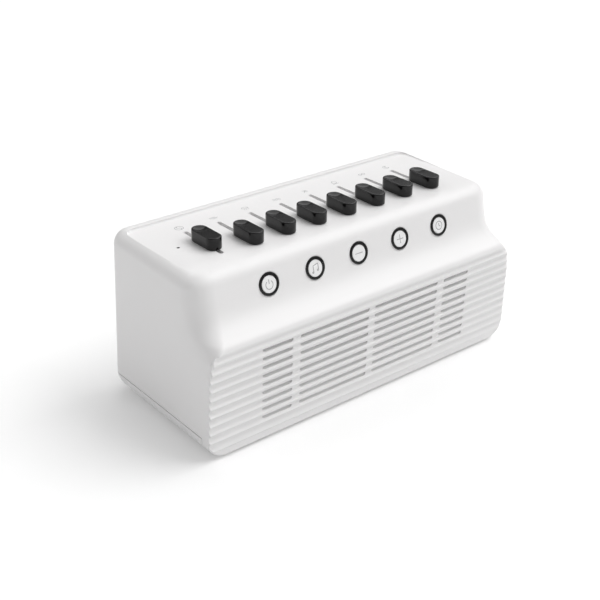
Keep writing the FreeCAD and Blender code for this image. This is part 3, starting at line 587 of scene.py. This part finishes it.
for index in range(1, 6):
    ring = merged_skin(f"button_ring_{index}", black_abs)
    points = mesh_points(ring.data)
    offset = points - (points.min(axis=0) + points.max(axis=0)) / 2
    offset[:, 1:] -= np.outer(offset @ button_out, button_out)[:, 1:]
    radius = np.linalg.norm(offset, axis=1, keepdims=True)
    beyond = np.clip(radius - skirt_radius, 0, None)
    points -= offset / radius * beyond * (1 - collar_share)
    ring.data.vertices.foreach_set("co", points.ravel())

# Button caps: five white ABS buttons, smoother than the shell, that sink 0.8 mm on their switches.
# Each carries one printed sign: power, sound, minus, plus and timer.
cap_abs = moulded_plastic("smooth white ABS", ("F6F6F6", "F8F8F8"), 0.3, 0.08)
signs = {
    "power": [arc(2.1, 125, 415, 0, -0.3), [(0, 0.2), (0, 2.4)]],
    "sound": [arc(0.35, 0, 360, -1.75, -1.8), arc(0.35, 0, 360, 1.3, -1.1), [(-1.3, -1.8), (-1.3, 1.5)],
              [(1.75, -1.1), (1.75, 2.2)], [(-1.3, 1.5), (1.75, 2.2)]],
    "minus": [[(-2.4, 0), (2.4, 0)]],
    "plus": [[(-2.3, 0), (2.3, 0)], [(0, -2.3), (0, 2.3)]],
    "timer": [arc(2.2, 0, 360), [(0, 0), (0, 1.3)], [(0, 0), (0.9, -0.5)]],
}
face_gap = 1e-5
for index, (sign, strokes) in enumerate(signs.items(), start=1):
    node = f"button_cap_{index}"
    finish(cap_abs, node)
    points = mesh_points(nodes[node].data)
    reach = points @ button_out
    face = points[reach > reach.max() - face_gap]
    centre = (face.min(axis=0) + face.max(axis=0)) / 2
    ink_strokes("sign_" + sign, strokes, centre, (1, 0, 0), button_up, nodes[node]["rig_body"])

# Inlet: a small socket drawn from nickel-plated steel, soldered to the main board behind a slot
# in the back. Its plate is bright with fine drawing lines.
nickel, tree, shader, place = start_material("nickel-plated steel", Metallic=1.0)
lines = add(tree, "ShaderNodeTexNoise", "drawing lines, 0.2 mm", Vector=place, Scale=5000.0, Detail=2.0)
tone = add(tree, "ShaderNodeMix", "tone", data_type="RGBA", _0=lines.outputs["Fac"],
           _6=linear("BDBAB4"), _7=linear("CFCCC6"))
rough = add(tree, "ShaderNodeMapRange", "lines to roughness", Value=lines.outputs["Fac"], To_Min=0.18,
            To_Max=0.3)
tree.links.new(tone.outputs[2], shader.inputs["Base Color"])
tree.links.new(rough.outputs["Result"], shader.inputs["Roughness"])
finish(nickel, "usb_inlet")

# Camera: the photograph's own viewpoint, left of the grille and above the deck. The place, the two
# angles and the focal length come from a fit to the body's straight edges.
camera_place, camera_azimuth, camera_elevation = (-0.3312, -0.3996, 0.3035), -38.70, 27.13
focal_pixels, picture_pixels, sensor_width = 1083.5, 600, 36.0


def direction(azimuth, elevation):
    """The way out from the machine, in degrees: round from the front to the right, and up."""
    round_angle, up_angle = math.radians(azimuth), math.radians(elevation)
    level = math.cos(up_angle)
    return Vector((math.sin(round_angle) * level, -math.cos(round_angle) * level, math.sin(up_angle)))


camera_data = bpy.data.cameras.new("camera")
camera = bpy.data.objects.new("camera", camera_data)
scene.collection.objects.link(camera)
scene.camera = camera
behind = direction(camera_azimuth, camera_elevation)
right = direction(camera_azimuth + 90, 0)
turn = Matrix((right, behind.cross(right), behind)).transposed().to_4x4()
camera.matrix_world = Matrix.Translation(camera_place) @ turn
camera_data.sensor_width = sensor_width
camera_data.lens = sensor_width * focal_pixels / picture_pixels
camera_data.clip_start = 0.01

# Studio: a wide floor in matt white paint, which keeps the machine's shadow. What the eye, metal
# and glass see of it is lifted a little, so that it stands as white.
floor_reach, floor_white, floor_lift = 4, 0.9, 0.17
floor_mesh = bpy.data.meshes.new("floor")
floor_corners = [(-floor_reach, -floor_reach, 0), (floor_reach, -floor_reach, 0),
                 (floor_reach, floor_reach, 0), (-floor_reach, floor_reach, 0)]
floor_mesh.from_pydata(floor_corners, [], [(0, 1, 2, 3)])
floor = bpy.data.objects.new("floor", floor_mesh)
scene.collection.objects.link(floor)
floor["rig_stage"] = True
white_paint, tree, shader, place = start_material("white matt paint", Roughness=0.9,
                                                  Specular_IOR_Level=0.0)
shader.inputs["Base Color"].default_value = (floor_white, floor_white, floor_white, 1)
path = add(tree, "ShaderNodeLightPath", "which ray")
seen = add(tree, "ShaderNodeMath", "camera or glossy", operation="MAXIMUM",
           _0=path.outputs["Is Camera Ray"], _1=path.outputs["Is Glossy Ray"])
seen = add(tree, "ShaderNodeMath", "or transmission", operation="MAXIMUM", _0=seen.outputs["Value"],
           _1=path.outputs["Is Transmission Ray"])
lift = add(tree, "ShaderNodeMath", "lift", operation="MULTIPLY", _0=seen.outputs["Value"],
           _1=floor_lift)
glow = add(tree, "ShaderNodeEmission", "lifts the sweep to white", Strength=lift.outputs["Value"])
both = add(tree, "ShaderNodeAddShader", "lit and lifted", _0=shader.outputs[0], _1=glow.outputs[0])
tree.links.new(both.outputs[0], tree.nodes["Material Output"].inputs["Surface"])
floor_mesh.materials.append(white_paint)

# Light: a broad lamp from the right, helped from the side, the front and behind, and a dim white
# world. At this level the white shell renders about as its colour is written.


def sun(name, azimuth, elevation, strength, spread):
    """A distant light that shines from a direction, over a spread in degrees."""
    data = bpy.data.lights.new(name, "SUN")
    data.energy = strength
    data.angle = math.radians(spread)
    lamp = bpy.data.objects.new(name, data)
    scene.collection.objects.link(lamp)
    lamp.rotation_euler = direction(azimuth, elevation).to_track_quat("Z", "Y").to_euler()


sun("key", 60, 50, 1.55, 45)
sun("side", 120, 50, 0.92, 60)
sun("front", 0, 50, 0.52, 60)
sun("fill", -135, 20, 0.6, 60)
world_strength = 0.2
world = bpy.data.worlds.new("studio")
scene.world = world
world.use_nodes = True
background = world.node_tree.nodes["Background"]
background.inputs["Color"].default_value = (1, 1, 1, 1)
background.inputs["Strength"].default_value = world_strength
scene.view_settings.view_transform = "Standard"

low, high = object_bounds()
